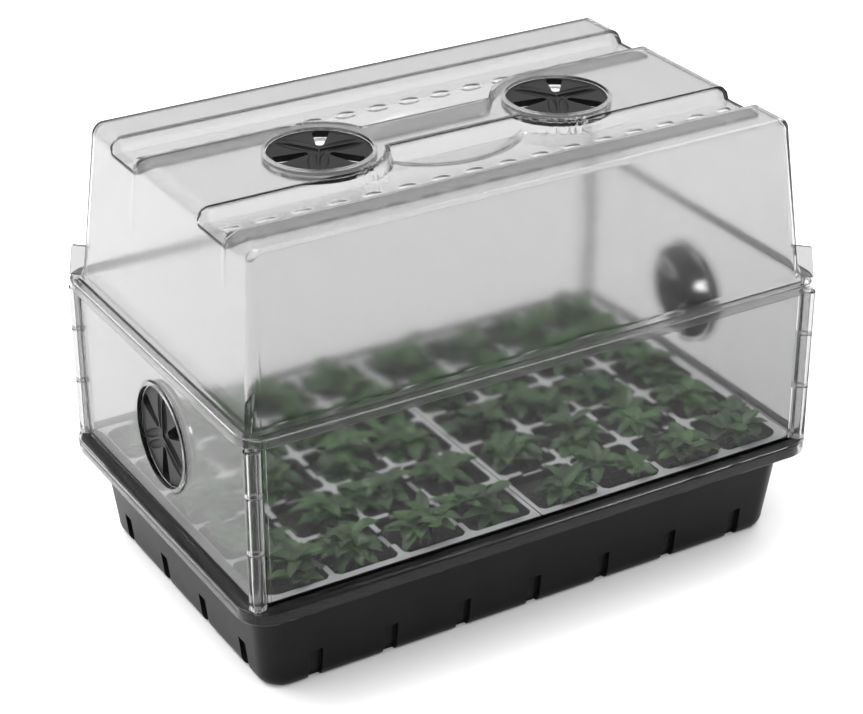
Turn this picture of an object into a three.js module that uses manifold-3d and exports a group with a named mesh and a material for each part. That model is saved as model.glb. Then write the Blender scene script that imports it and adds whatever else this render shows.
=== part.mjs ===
// A seed-starting tray with two plug inserts, a height extension and a clear humidity dome.
// Millimetres, +Z up. X runs along the tray, Y across it, and the tray stands on z = 0.
import * as THREE from "three";
import { mergeVertices } from "three/addons/utils/BufferGeometryUtils.js";
import Module from "manifold-3d";

const kit = await Module();
kit.setup();
const { Manifold, Mesh } = kit;

// ---------- driving dimensions ----------
const GAP = 0.3; // clearance between parts that rest on each other
const CORNER_STEPS = 4; // segments in each rounded corner

const TRAY = {
  foot: { x: 177.5, y: 104.8, r: 12 }, // half sizes and corner radius of the underside
  bend: { x: 183.2, y: 110.5, r: 15 }, // where the bottom edge meets the wall
  top: { x: 188.8, y: 116.0, r: 16 }, // top of the tapered wall
  bendZ: 9,
  topZ: 60,
  rimTopZ: 65.8,
  rimOut: { x: 199.0, y: 126.4, r: 18 },
  lipOut: { x: 190.6, y: 117.9, r: 10 },
  lipTopZ: 67.2,
  wall: 2.0,
  floor: 3.0,
};
const NOTCH = { width: 9, depth: 4.5, height: 22, pitchX: 50.6, pitchY: 53.5, perLong: 7, perShort: 4 };

const INSERT = {
  topZ: 69.0,
  outX: 189.7,
  outY: 117.0,
  cornerR: 8,
  columns: 4,
  rows: 5,
  pitchX: 46.0,
  pitchY: 45.6,
  rib: 3.4,
  middleFlange: 3.1, // from the centre line of the tray to the first cell
  seam: 0.35, // half the gap between the two inserts
  ribDepth: 6,
  flange: 1.5,
  cellR: 3,
  cupWall: 1.1,
  cupBottom: { x: 12.2, y: 11.2 },
  cupBottomZ: 15,
  dip: { width: 16, depth: 3.2 },
  drainR: 4,
};

const PANEL = {
  axisX: 191.9, // the corner posts, and the middle of each panel's wall
  axisY: 119.3,
  wall: 2.0,
  topZ: 177.9,
  flangeTopZ: 68.6,
  skirtOut: { x: 201.3, y: 128.7, r: 20 },
  skirtWall: 1.9,
  skirtBottomZ: 60.2,
  cornerGap: 5.6, // from a post's axis to the end of a panel's wall
};
const POST = {
  r: 5.0,
  pinR: 2.0,
  boreR: 2.3,
  headR: 3.6,
  bottomZ: PANEL.flangeTopZ + GAP,
  lowZ: 105.6,
  highZ: 142.4,
  topZ: 171.4,
  headTopZ: 173.5,
};

const DOME = {
  flangeOut: { x: 199.0, y: 126.6, r: 18 },
  flangeTopZ: 180.3,
  flange: 2.0,
  skirtBottomZ: 173.8,
  base: { x: 190.4, y: 115.4, r: 7 },
  shoulder: { x: 181.9, y: 105.9, r: 5 },
  topZ: 283.0,
  endFillet: 8,
  sideFillet: 2.5,
  wall: 2.0,
};
const CHANNEL = { innerY: 42.0, outerY: 74.4, floorZ: 273.8, waistY: 17.6, bulgeR: 42.0, scoop: 3 };
const FIN = { wall: 1.8, height: 20.5, base: 8.5, top: 5.0 };

const VENT = {
  topX: 82.5,
  sideZ: 122.0,
  dialR: 31.3,
  holeR: 31.8,
  beadR: 35.0,
  bead: 1.2,
  recess: 1.7, // the dial's face below the outside of the wall
  dial: 4.0,
  window: { inner: 8, outer: 29.6, innerHalf: 2.4, outerHalf: 5.3 },
  ridge: { length: 26, width: 1.2, height: 0.9 },
  scoop: { middle: 15.5, halfLength: 12, halfWidth: 3.2, offset: 3.8, depth: 3.1 },
  seatR: 34.0,
  seatFloor: 2.0,
  bossR: 4.0,
  boreR: 4.3,
  clipBoreR: 4.1,
  clipR: 8.0,
  clip: 1.6,
};

// ---------- solids ----------
function solid(geometry) {
  const g = mergeVertices(new THREE.BufferGeometry()
    .setIndex(geometry.index)
    .setAttribute("position", geometry.getAttribute("position")), 1e-4);
  return new Manifold(new Mesh({
    numProp: 3,
    vertProperties: new Float32Array(g.attributes.position.array),
    triVerts: new Uint32Array(g.index.array),
  }));
}

function geometryOf(manifold) {
  const { vertProperties, triVerts, numProp } = manifold.getMesh();
  const positions = new Float32Array((vertProperties.length / numProp) * 3);
  for (let i = 0; i < positions.length / 3; i++)
    for (let k = 0; k < 3; k++) positions[3 * i + k] = vertProperties[numProp * i + k];
  const g = new THREE.BufferGeometry();
  g.setAttribute("position", new THREE.BufferAttribute(positions, 3));
  g.setIndex(new THREE.BufferAttribute(new Uint32Array(triVerts), 1));
  const flat = g.toNonIndexed();
  flat.computeVertexNormals();
  return flat;
}

const union = (...list) => Manifold.union(list.flat());

// A box from its low corner to its high corner.
function box(low, high) {
  const size = high.map((v, k) => v - low[k]);
  const g = new THREE.BoxGeometry(...size);
  g.translate(...low.map((v, k) => v + size[k] / 2));
  return solid(g);
}

// A cylinder along Z.
function cylinder(x, y, z0, z1, r0, r1 = r0, steps = 32) {
  const g = new THREE.CylinderGeometry(r1, r0, z1 - z0, steps);
  g.rotateX(Math.PI / 2);
  g.translate(x, y, (z0 + z1) / 2);
  return solid(g);
}

// One ring of points round a rectangle with rounded corners.
function roundedRing({ x, y, r, cx = 0, cy = 0 }, steps) {
  const ring = [];
  const corners = [[1, 1], [-1, 1], [-1, -1], [1, -1]];
  corners.forEach(([sx, sy], quarter) => {
    for (let i = 0; i <= steps; i++) {
      const a = (quarter + (steps ? i / steps : 0.5)) * (Math.PI / 2);
      ring.push([cx + sx * (x - r) + r * Math.cos(a), cy + sy * (y - r) + r * Math.sin(a)]);
    }
  });
  return ring;
}

// A solid that runs through rounded rectangles, each given as { x, y, r, z }, from the bottom up.
function loft(sections, steps = CORNER_STEPS) {
  const points = [];
  const faces = [];
  sections.forEach((s) => roundedRing(s, steps).forEach(([x, y]) => points.push(x, y, s.z)));
  const n = 4 * (steps + 1);
  for (let s = 0; s + 1 < sections.length; s++)
    for (let i = 0; i < n; i++) {
      const a = s * n + i;
      const b = s * n + ((i + 1) % n);
      faces.push(a, b, b + n, a, b + n, a + n);
    }
  const last = (sections.length - 1) * n;
  for (let i = 1; i + 1 < n; i++) faces.push(0, i + 1, i, last, last + i, last + i + 1);
  const g = new THREE.BufferGeometry();
  g.setAttribute("position", new THREE.Float32BufferAttribute(points, 3));
  g.setIndex(faces);
  return solid(g);
}

const grown = (s, d) => ({ ...s, x: s.x + d, y: s.y + d, r: Math.max(0.6, s.r + d) });
const at = (s, z, d = 0) => ({ ...grown(s, d), z });

// A flat outline pushed up along Z.
function extruded(shape, z0, z1) {
  const g = new THREE.ExtrudeGeometry(shape, { depth: z1 - z0, bevelEnabled: false });
  g.translate(0, 0, z0);
  return solid(g);
}

function polygonShape(points) {
  return new THREE.Shape(points.map(([x, y]) => new THREE.Vector2(x, y)));
}

// ---------- materials ----------
const material = (color, roughness, options = {}) =>
  new THREE.MeshStandardMaterial({ color, roughness, metalness: 0, flatShading: true, ...options });
const BLACK = material(0x1d1d1f, 0.45);
const INSERT_BLACK = material(0x2a2b2c, 0.5);
const DIAL_BLACK = material(0x38383a, 0.4);
const CLEAR = material(0xcdd0d0, 0.08, { transparent: true, opacity: 0.35 });

const tray = new THREE.Group();
function add(name, manifold, look) {
  const mesh = new THREE.Mesh(geometryOf(manifold), look);
  mesh.name = name;
  tray.add(mesh);
}

// ---------- base tray ----------
// The recesses between the feet, each a wedge that is deepest at the floor.
function notchWedges(grow) {
  const half = NOTCH.width / 2 + grow;
  const top = NOTCH.height + grow;
  const side = (along, wallBottom, wallTop, depth) => {
    const profile = polygonShape([
      [wallBottom + 30, -2],
      [wallBottom - depth - grow, -2],
      [wallBottom - depth - grow, 2],
      [wallTop - 0.4 - grow, top],
      [wallTop + 30, top],
    ]);
    const g = new THREE.ExtrudeGeometry(profile, { depth: 2 * half, bevelEnabled: false });
    g.rotateX(Math.PI / 2);
    g.translate(0, along + half, 0);
    return solid(g);
  };
  const bulge = ((NOTCH.height - TRAY.bendZ) * (TRAY.top.x - TRAY.bend.x)) / (TRAY.topZ - TRAY.bendZ);
  const wedges = [];
  for (let i = 0; i < NOTCH.perLong; i++) {
    const x = (i - (NOTCH.perLong - 1) / 2) * NOTCH.pitchX;
    const wedge = side(-x, TRAY.foot.y, TRAY.bend.y + bulge, NOTCH.depth);
    wedges.push(wedge.rotate([0, 0, 90]), wedge.rotate([0, 0, -90]).mirror([1, 0, 0]));
  }
  for (let i = 0; i < NOTCH.perShort; i++) {
    const y = (i - (NOTCH.perShort - 1) / 2) * NOTCH.pitchY;
    const wedge = side(y, TRAY.foot.x, TRAY.bend.x + bulge, NOTCH.depth);
    wedges.push(wedge, wedge.mirror([1, 0, 0]));
  }
  return union(wedges);
}

// A shallow arch under each corner leaves the tray on its long feet.
function cornerArches() {
  const arches = [];
  for (const sx of [-1, 1])
    for (const sy of [-1, 1]) {
      const g = new THREE.CylinderGeometry(14, 14, 12, 16);
      g.rotateZ(Math.PI / 2);
      g.translate(TRAY.foot.r + 1.5, 0, -11.8);
      g.rotateZ(Math.atan2(sy, sx));
      g.translate(sx * (TRAY.foot.x - TRAY.foot.r), sy * (TRAY.foot.y - TRAY.foot.r), 0);
      arches.push(solid(g));
    }
  return union(arches);
}

function baseTray() {
  const outside = loft([
    at(TRAY.foot, 0),
    at(TRAY.bend, TRAY.bendZ),
    at(TRAY.top, TRAY.topZ),
    at(TRAY.rimOut, TRAY.topZ - 1),
    at(TRAY.rimOut, TRAY.rimTopZ - 0.8),
    at(TRAY.rimOut, TRAY.rimTopZ, -0.8),
    at(TRAY.lipOut, TRAY.rimTopZ),
    at(TRAY.lipOut, TRAY.lipTopZ),
  ]);
  const inside = loft([
    at(TRAY.foot, TRAY.floor, -TRAY.wall + 1.2),
    at(TRAY.bend, TRAY.bendZ, -TRAY.wall),
    at(TRAY.top, TRAY.topZ + 1, -TRAY.wall),
    at(TRAY.top, TRAY.topZ + 3, -TRAY.wall + 0.2),
    at(TRAY.lipOut, TRAY.lipTopZ - 1.5, -1.8),
    at(TRAY.lipOut, TRAY.lipTopZ + 5, -1.8),
  ]);
  const underRim = loft([
    at(TRAY.rimOut, TRAY.topZ - 4, -1.8),
    at(TRAY.rimOut, TRAY.rimTopZ - 2, -1.8),
  ]).subtract(loft([
    at(TRAY.top, TRAY.topZ - 5, 1.2),
    at(TRAY.top, TRAY.rimTopZ, 1.2),
  ]));
  return outside
    .subtract(underRim)
    .subtract(inside.subtract(notchWedges(TRAY.wall)))
    .subtract(notchWedges(0))
    .subtract(cornerArches());
}
add("base_tray", baseTray(), BLACK);

// The space inside the tray's wall, drawn in by a clearance, up past the inserts' top.
function trayHollow(clearance) {
  const d = -TRAY.wall - clearance;
  return loft([
    at(TRAY.foot, 0, d),
    at(TRAY.bend, TRAY.bendZ, d),
    at(TRAY.top, TRAY.topZ, d),
    at(TRAY.top, INSERT.topZ + 5, d),
  ]);
}

// ---------- plug inserts ----------
// One tapered cell: the solid of its cavity, or, grown by the wall, its square-cornered outside.
function cellBody(x, y, grow, bottomZ, topZ) {
  const openX = (INSERT.pitchX - INSERT.rib) / 2;
  const openY = (INSERT.pitchY - INSERT.rib) / 2;
  const r = grow ? 0 : INSERT.cellR;
  return loft([
    { x: INSERT.cupBottom.x + grow, y: INSERT.cupBottom.y + grow, r, z: bottomZ, cx: x, cy: y },
    { x: openX + grow, y: openY + grow, r, z: topZ, cx: x, cy: y },
  ], grow ? 0 : 1);
}

function plugInsert(side) {
  const first = INSERT.middleFlange - INSERT.rib / 2;
  const middle = first + (INSERT.columns * INSERT.pitchX) / 2;
  const flange = loft(
    [INSERT.topZ - INSERT.flange, INSERT.topZ].map((z) => ({
      x: (INSERT.outX - INSERT.seam) / 2,
      y: INSERT.outY,
      r: 1,
      z,
      cx: (INSERT.outX + INSERT.seam) / 2,
    })),
  ).intersect(loft([
    { x: INSERT.outX, y: INSERT.outY, r: INSERT.cornerR, z: INSERT.topZ - 5 },
    { x: INSERT.outX, y: INSERT.outY, r: INSERT.cornerR, z: INSERT.topZ + 5 },
  ]));
  const halfX = (INSERT.columns * INSERT.pitchX) / 2 - INSERT.rib / 2 + 1;
  const halfY = (INSERT.rows * INSERT.pitchY) / 2 - INSERT.rib / 2 + 1;
  const ribs = box(
    [middle - halfX, -halfY, INSERT.topZ - INSERT.ribDepth],
    [middle + halfX, halfY, INSERT.topZ - 0.5],
  );
  const cups = [];
  const cavities = [];
  for (let i = 0; i < INSERT.columns; i++)
    for (let j = 0; j < INSERT.rows; j++) {
      const x = middle + (i - (INSERT.columns - 1) / 2) * INSERT.pitchX;
      const y = (j - (INSERT.rows - 1) / 2) * INSERT.pitchY;
      const floorZ = INSERT.cupBottomZ + INSERT.cupWall + 0.4;
      cups.push(cellBody(x, y, INSERT.cupWall, INSERT.cupBottomZ, INSERT.topZ - 0.5));
      cavities.push(cellBody(x, y, 0, floorZ, INSERT.topZ + 0.5));
      cavities.push(cylinder(x, y, INSERT.cupBottomZ - 1, floorZ + 1, INSERT.drainR, INSERT.drainR, 6));
    }
  const dips = [];
  const half = INSERT.dip.width / 2;
  const low = INSERT.topZ - INSERT.dip.depth;
  for (let i = 0; i <= INSERT.columns; i++)
    for (let j = 0; j <= INSERT.rows; j++) {
      const x = middle + (i - INSERT.columns / 2) * INSERT.pitchX;
      const y = (j - INSERT.rows / 2) * INSERT.pitchY;
      const midX = x + INSERT.pitchX / 2;
      const midY = y + INSERT.pitchY / 2;
      const reach = INSERT.rib / 2 + 0.4;
      const inRow = j < INSERT.rows && i > 0 && i < INSERT.columns;
      const inColumn = i < INSERT.columns && j > 0 && j < INSERT.rows;
      if (inRow) dips.push(box([x - reach, midY - half, low], [x + reach, midY + half, INSERT.topZ + 1]));
      if (inColumn) dips.push(box([midX - half, y - reach, low], [midX + half, y + reach, INSERT.topZ + 1]));
    }
  const below = union(ribs, cups).intersect(trayHollow(0.5));
  const hollow = union(cavities).intersect(trayHollow(0.5 + INSERT.cupWall));
  const right = union(flange, below).subtract(hollow).subtract(union(dips));
  return side > 0 ? right : right.mirror([1, 0, 0]);
}
add("plug_insert_left", plugInsert(-1), INSERT_BLACK);
add("plug_insert_right", plugInsert(1), INSERT_BLACK);

// ---------- rotary vents ----------
// Each vent is drawn round +Z with the outer face of its wall at z = 0, then placed.
const DIAL_BACK = -VENT.recess - VENT.dial;
const SEAT_TOP = DIAL_BACK - GAP;
const CLIP_TOP = SEAT_TOP - VENT.seatFloor - GAP;

// One petal-shaped opening along +X, as a solid that cuts it. It widens outwards.
function petal(z0, z1, grow = 0) {
  const { inner, outer, innerHalf, outerHalf } = VENT.window;
  const half = [
    [inner - grow, -0.5 * innerHalf],
    [inner + 1.5, -innerHalf - grow],
    [outer - 4, -outerHalf - grow],
    [outer - 1.2, -0.75 * outerHalf - grow],
    [outer + grow, -0.3 * outerHalf],
  ];
  const mirrored = half.map(([x, y]) => [x, -y]).reverse();
  return extruded(polygonShape([...half, ...mirrored]), z0, z1);
}

const thirds = (one) => [0, 120, 240].map((a) => one.rotate([0, 0, a]));

// The clear cup under the wall that the dial turns in; its floor has the dial's three openings.
function ventSeat() {
  const floorZ = SEAT_TOP - VENT.seatFloor;
  const cup = cylinder(0, 0, floorZ, -PANEL.wall - GAP, VENT.seatR, VENT.seatR, 36);
  const pocket = cylinder(0, 0, SEAT_TOP, 1, VENT.holeR, VENT.holeR, 36);
  const bore = cylinder(0, 0, floorZ - 1, 1, VENT.boreR, VENT.boreR, 12);
  return cup.subtract(union(pocket, bore, thirds(petal(floorZ - 1, SEAT_TOP + 1, -0.6))));
}

// A finger scoop beside a ridge: an elliptical hollow that narrows downwards.
function scoop(side) {
  const { middle, halfLength, halfWidth, offset, depth } = VENT.scoop;
  return cylinder(0, 0, -depth, 1, 0.4, 1.15, 8)
    .scale([halfLength, halfWidth, 1])
    .translate([middle, side * offset, -VENT.recess]);
}

// The dial: three openings and, between them, three grip ridges with a scoop on each side.
function ventDial() {
  const face = -VENT.recess;
  const disc = cylinder(0, 0, DIAL_BACK, face, VENT.dialR, VENT.dialR - 0.4, 36);
  const { length, width, height } = VENT.ridge;
  const blade = new THREE.ExtrudeGeometry(
    polygonShape([[0, -1], [length, -1], [length, 0], [length / 2, height], [0, height]]),
    { depth: width, bevelEnabled: false },
  );
  blade.rotateX(Math.PI / 2);
  blade.translate(0, width / 2, face);
  const boss = cylinder(0, 0, CLIP_TOP - VENT.clip - 0.6, DIAL_BACK + 1, VENT.bossR, VENT.bossR, 12);
  const cuts = [...thirds(petal(DIAL_BACK - 1, 2)), ...thirds(scoop(-1).rotate([0, 0, 60])),
    ...thirds(scoop(1).rotate([0, 0, 60]))];
  return union(disc.subtract(union(cuts)), thirds(solid(blade).rotate([0, 0, 60])), boss);
}

// A washer-shaped clip on the dial's boss holds the dial in its seat.
function ventClip() {
  const bottom = CLIP_TOP - VENT.clip;
  return cylinder(0, 0, bottom, CLIP_TOP, VENT.clipR, VENT.clipR, 16)
    .subtract(cylinder(0, 0, bottom - 1, CLIP_TOP + 1, VENT.clipBoreR, VENT.clipBoreR, 12));
}

// The raised bead round a dial, and the hole that the dial turns in.
const ventBead = () => cylinder(0, 0, -1, VENT.bead, VENT.beadR, VENT.beadR - 0.8, 36);
const ventHole = () => cylinder(0, 0, -2.6, 6, VENT.holeR, VENT.holeR, 36);

const wallFace = PANEL.axisX + PANEL.wall / 2;
const placeVent = {
  top_left: (m) => m.rotate([0, 0, -60]).translate([-VENT.topX, 0, DOME.topZ]),
  top_right: (m) => m.rotate([0, 0, -60]).translate([VENT.topX, 0, DOME.topZ]),
  left: (m) => m.rotate([0, 0, 60]).rotate([0, -90, 0]).translate([-wallFace, 0, VENT.sideZ]),
  right: (m) => m.rotate([0, 90, 0]).translate([wallFace, 0, VENT.sideZ]),
};
for (const [name, place] of Object.entries(placeVent)) {
  add("vent_seat_" + name, place(ventSeat()), CLEAR);
  add("vent_dial_" + name, place(ventDial()), DIAL_BLACK);
  add("vent_clip_" + name, place(ventClip()), DIAL_BLACK);
}

// ---------- height extension ----------
// The flange and skirt that all four panels share, as one ring.
function extensionSkirt() {
  const s = PANEL.skirtOut;
  const outside = loft([
    at(s, PANEL.skirtBottomZ),
    at(s, PANEL.flangeTopZ - 1),
    at(s, PANEL.flangeTopZ, -1),
  ]);
  const underside = loft([
    at(s, PANEL.skirtBottomZ - 5, -PANEL.skirtWall),
    at(s, TRAY.rimTopZ + GAP, -PANEL.skirtWall),
  ]);
  const middle = { x: PANEL.axisX - 1, y: PANEL.axisY - 1, r: 8 };
  return outside.subtract(underside).subtract(loft([at(middle, 0), at(middle, 100)]));
}

// The share of the ring that belongs to the panel facing -Y, or to the one facing -X.
function skirtShare(long) {
  const seam = GAP / 2;
  const x = PANEL.axisX;
  const y = PANEL.axisY;
  const reach = 30;
  const wedge = long
    ? [[-x - reach + seam, -y - reach], [x + reach - seam, -y - reach], [x - reach, -y + reach - seam],
        [-x + reach, -y + reach - seam]]
    : [[-x - reach, -y - reach + seam], [-x + reach - seam, -y + reach], [-x + reach - seam, y - reach],
        [-x - reach, y + reach - seam]];
  return extruded(polygonShape(wedge), 0, 100);
}

const knuckle = (x, y, z0, z1) => cylinder(x, y, z0, z1, POST.r, POST.r, 16);
const pinBore = (x, y) => cylinder(x, y, 0, 200, POST.boreR, POST.boreR, 12);

// The panel facing -Y: it carries the lower and upper knuckle at each end.
function longPanel() {
  const half = PANEL.wall / 2;
  const y = -PANEL.axisY;
  const end = PANEL.axisX - PANEL.cornerGap;
  const pieces = [
    box([-end, y - half, TRAY.rimTopZ + GAP], [end, y + half, PANEL.topZ]),
    extensionSkirt().intersect(skirtShare(true)),
  ];
  const bores = [];
  for (const side of [-1, 1]) {
    const x = side * PANEL.axisX;
    for (const [z0, z1] of [[POST.bottomZ, POST.lowZ - GAP / 2], [POST.highZ + GAP / 2, POST.topZ]]) {
      pieces.push(knuckle(x, y, z0, z1));
      pieces.push(box(
        [Math.min(x, side * (end - 1)), y - half, z0],
        [Math.max(x, side * (end - 1)), y + half, z1],
      ));
    }
    bores.push(pinBore(x, y));
  }
  return union(pieces).subtract(union(bores));
}

// The panel facing -X: it carries the middle knuckle at each end, and a vent.
function endPanel() {
  const half = PANEL.wall / 2;
  const x = -PANEL.axisX;
  const end = PANEL.axisY - PANEL.cornerGap;
  const [z0, z1] = [POST.lowZ + GAP / 2, POST.highZ - GAP / 2];
  const pieces = [
    box([x - half, -end, TRAY.rimTopZ + GAP], [x + half, end, PANEL.topZ]),
    extensionSkirt().intersect(skirtShare(false)),
    placeVent.left(ventBead()),
  ];
  const holes = [placeVent.left(ventHole())];
  for (const side of [-1, 1]) {
    const y = side * PANEL.axisY;
    pieces.push(knuckle(x, y, z0, z1));
    pieces.push(box(
      [x - half, Math.min(y, side * (end - 1)), z0],
      [x + half, Math.max(y, side * (end - 1)), z1],
    ));
    holes.push(pinBore(x, y));
  }
  return union(pieces).subtract(union(holes));
}

function cornerPin() {
  const shank = cylinder(0, 0, POST.bottomZ + 0.2, POST.topZ + GAP, POST.pinR, POST.pinR, 12);
  const head = cylinder(0, 0, POST.topZ + GAP, POST.headTopZ, POST.headR, POST.headR - 0.5, 12);
  return union(shank, head);
}

add("front_panel", longPanel(), CLEAR);
add("back_panel", longPanel().mirror([0, 1, 0]), CLEAR);
add("left_panel", endPanel(), CLEAR);
add("right_panel", endPanel().mirror([1, 0, 0]), CLEAR);
for (const [end, sx] of [["left", -1], ["right", 1]])
  for (const [face, sy] of [["front", -1], ["back", 1]])
    add(`corner_pin_${face}_${end}`, cornerPin().translate([sx * PANEL.axisX, sy * PANEL.axisY, 0]), CLEAR);

// ---------- dome lid ----------
// The dome's body: a tapered box whose top edges are rounded, most at its two ends.
function domeBody(inset) {
  const { base, shoulder } = DOME;
  const top = DOME.topZ - inset;
  const sections = [at(base, DOME.flangeTopZ - DOME.flange - (inset ? 5 : 0), -inset)];
  const steps = 3;
  for (let i = 0; i <= steps; i++) {
    const a = (i / steps) * (Math.PI / 2);
    const fx = Math.max(DOME.endFillet - inset, 1);
    const fy = Math.max(DOME.sideFillet - inset, 0.5);
    const r = Math.max(shoulder.r - inset, 0.6);
    sections.push({
      x: shoulder.x - inset - fx * (1 - Math.cos(a)),
      y: shoulder.y - inset - fy * (1 - Math.cos(a)),
      r,
      z: top - fx * (1 - Math.sin(a)),
    });
  }
  return loft(sections);
}

// The two lengthwise channels in the roof and the narrow waist between the vents.
function roofChannels(inset) {
  const reach = DOME.base.x + 10;
  const trough = box(
    [-reach, CHANNEL.waistY - inset, CHANNEL.floorZ - inset],
    [reach, CHANNEL.outerY + inset, DOME.topZ + 10],
  );
  const keep = union(
    [-1, 1].map((s) => box(
      [Math.min(s * VENT.topX, s * (reach + 5)), 0, 0],
      [Math.max(s * VENT.topX, s * (reach + 5)), CHANNEL.innerY - inset, 400],
    )),
    [-1, 1].map((s) => cylinder(s * VENT.topX, 0, 0, 400, CHANNEL.bulgeR - inset, CHANNEL.bulgeR - inset, 36)),
  );
  const scoop = cylinder(0, 0, CHANNEL.floorZ - CHANNEL.scoop - inset, DOME.topZ, 1, 1, 32)
    .scale([50 + inset, 41 + inset, 1])
    .subtract(box([-90, -90, 0], [90, CHANNEL.waistY - inset, 400]));
  const one = trough.add(scoop).subtract(keep);
  return union(one, one.mirror([0, 1, 0]));
}

// A fin that stiffens one corner of the dome, standing on the flange and pointing out at 45 degrees.
function cornerFin(sx, sy) {
  const z = DOME.flangeTopZ - 0.5;
  const outline = polygonShape([[-6, z], [FIN.base, z], [FIN.top, z + FIN.height], [-9, z + FIN.height]]);
  const g = new THREE.ExtrudeGeometry(outline, { depth: FIN.wall, bevelEnabled: false });
  g.rotateX(Math.PI / 2);
  g.translate(0, FIN.wall / 2, 0);
  g.rotateZ(Math.atan2(sy, sx));
  g.translate(sx * (DOME.base.x - 2), sy * (DOME.base.y - 2), 0);
  return solid(g);
}

function domeLid() {
  const flange = loft([
    at(DOME.flangeOut, DOME.skirtBottomZ),
    at(DOME.flangeOut, DOME.flangeTopZ - 1),
    at(DOME.flangeOut, DOME.flangeTopZ, -1),
  ]).subtract(loft([
    at(DOME.flangeOut, DOME.skirtBottomZ - 5, -1.8),
    at(DOME.flangeOut, DOME.flangeTopZ - DOME.flange, -1.8),
  ]));
  const fins = [[1, 1], [-1, 1], [-1, -1], [1, -1]].map(([sx, sy]) => cornerFin(sx, sy));
  const beads = [placeVent.top_left(ventBead()), placeVent.top_right(ventBead())];
  const holes = [placeVent.top_left(ventHole()), placeVent.top_right(ventHole())];
  const outside = domeBody(0).subtract(roofChannels(0));
  const inside = domeBody(DOME.wall).subtract(roofChannels(DOME.wall));
  return union(outside, flange, fins, beads).subtract(inside).subtract(union(holes));
}
add("dome_lid", domeLid(), CLEAR);

export default tray;
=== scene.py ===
"""Humidity dome tray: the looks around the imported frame. Lengths in mm here, metres in Blender."""
import math

import bmesh
import bpy
import numpy as np
from mathutils import Matrix, Vector


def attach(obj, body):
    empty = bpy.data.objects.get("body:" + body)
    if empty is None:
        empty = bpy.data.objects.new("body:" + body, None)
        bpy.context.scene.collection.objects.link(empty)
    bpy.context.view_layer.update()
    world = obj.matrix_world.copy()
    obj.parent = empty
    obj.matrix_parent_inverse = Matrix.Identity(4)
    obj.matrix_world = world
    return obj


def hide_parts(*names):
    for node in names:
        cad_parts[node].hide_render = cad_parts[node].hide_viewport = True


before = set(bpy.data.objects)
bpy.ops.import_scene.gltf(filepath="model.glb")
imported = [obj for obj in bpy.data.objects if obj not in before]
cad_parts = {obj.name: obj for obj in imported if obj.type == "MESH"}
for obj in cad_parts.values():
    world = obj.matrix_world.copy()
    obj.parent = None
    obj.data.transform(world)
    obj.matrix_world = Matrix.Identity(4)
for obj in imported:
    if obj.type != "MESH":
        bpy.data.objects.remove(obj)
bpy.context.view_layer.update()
MM = 0.001
rng = np.random.default_rng(7)

# ---------- driving dimensions, the same as the CAD's ----------
DOME_TOP = 283.0
DOME_WALL = 2.0
SHOULDER = (181.9, 105.4, 5.0)  # half sizes and corner radius
DOME_BASE = (190.4, 115.4, 7.0)
DOME_FLANGE = (199.0, 126.6, 18.0)
FLANGE_Z, SKIRT_Z = 180.3, 173.8
END_FILLET, SIDE_FILLET = 8.0, 2.5
CHANNEL_Z, CHANNEL_IN, CHANNEL_OUT = 273.8, 42.0, 74.4
WAIST_Y, BULGE_R, VENT_X = 17.6, 42.0, 82.5
HOLE_R, BEAD_R, BEAD_RISE = 31.8, 35.0, 0.5
ROOF_STEP = 2.4  # how wide the roof's steps slope
SCOOP_X, SCOOP_Y, SCOOP_SLOPE, SCOOP_DEPTH = 51, 41, 7.0, 3
OVAL_PITCH, OVAL_Y, OVAL_DEPTH, OVAL_END = 22.5, 57, 1.1, 172
OVAL_HALF_X, OVAL_HALF_Y = 7.0, 4.0
POST_X, POST_Y = 191.9, 119.3
POST_GAP, PIN_BORE_R = 5.6, 2.3
OUTER_KNUCKLES, MIDDLE_KNUCKLE = ((68.9, 105.45), (142.55, 171.4)), (105.75, 142.25)
STRIP_HALF, STRIP_LOW, STRIP_TOP = 1.1, 68.4, 176.9
SEAM, SHARE_REACH = 0.15, 30
PANEL_TOP, PANEL_LOW = 177.9, 66.1
SIDE_VENT_X, SIDE_VENT_Z = 192.9, 122.0
PITCH_X, PITCH_Y = 46.0, 45.6
COLUMNS, ROWS, MIDDLE_GAP = 4, 5, 1.4
TRAY_FOOT = (177.5, 104.8, 12)
TRAY_BEND = (183.2, 110.5, 15)
TRAY_TOP = (188.8, 116.0, 16)
TRAY_RIM = (199.0, 126.4, 18)
TRAY_LIP = (190.6, 117.9, 10)
TRAY_WALL, FOOT_ROUND = 2.0, 9.0
RECESS_TOP, RECESS_HALF = 22.0, 4.5
SKIRT_RIM = (201.3, 128.7, 20.0)
SOIL_Z, SOIL_HALF, SOIL_CORNER = 62.6, 19.8, 4.0


# ---------- camera ----------
CAMERA_ANGLES = (-30.671, 27.791, -0.150)  # azimuth, elevation and roll in degrees
CAMERA_PLACE = (-0.68519, -1.14358, 0.82581)
CAMERA_LENS = 100.19


def make_camera():
    azimuth, elevation, roll = (math.radians(v) for v in CAMERA_ANGLES)
    back = Vector((math.sin(azimuth) * math.cos(elevation),
                   -math.cos(azimuth) * math.cos(elevation), math.sin(elevation)))
    right = Vector((math.cos(azimuth), math.sin(azimuth), 0))
    up = back.cross(right)
    turned_right = right * math.cos(roll) + up * math.sin(roll)
    turned_up = -right * math.sin(roll) + up * math.cos(roll)
    data = bpy.data.cameras.new("camera")
    data.sensor_width = 36
    data.lens = CAMERA_LENS
    data.clip_end = 50
    camera = bpy.data.objects.new("camera", data)
    bpy.context.scene.collection.objects.link(camera)
    turn = Matrix((turned_right, turned_up, back)).transposed().to_4x4()
    camera.matrix_world = Matrix.Translation(CAMERA_PLACE) @ turn
    bpy.context.scene.camera = camera


make_camera()


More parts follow.
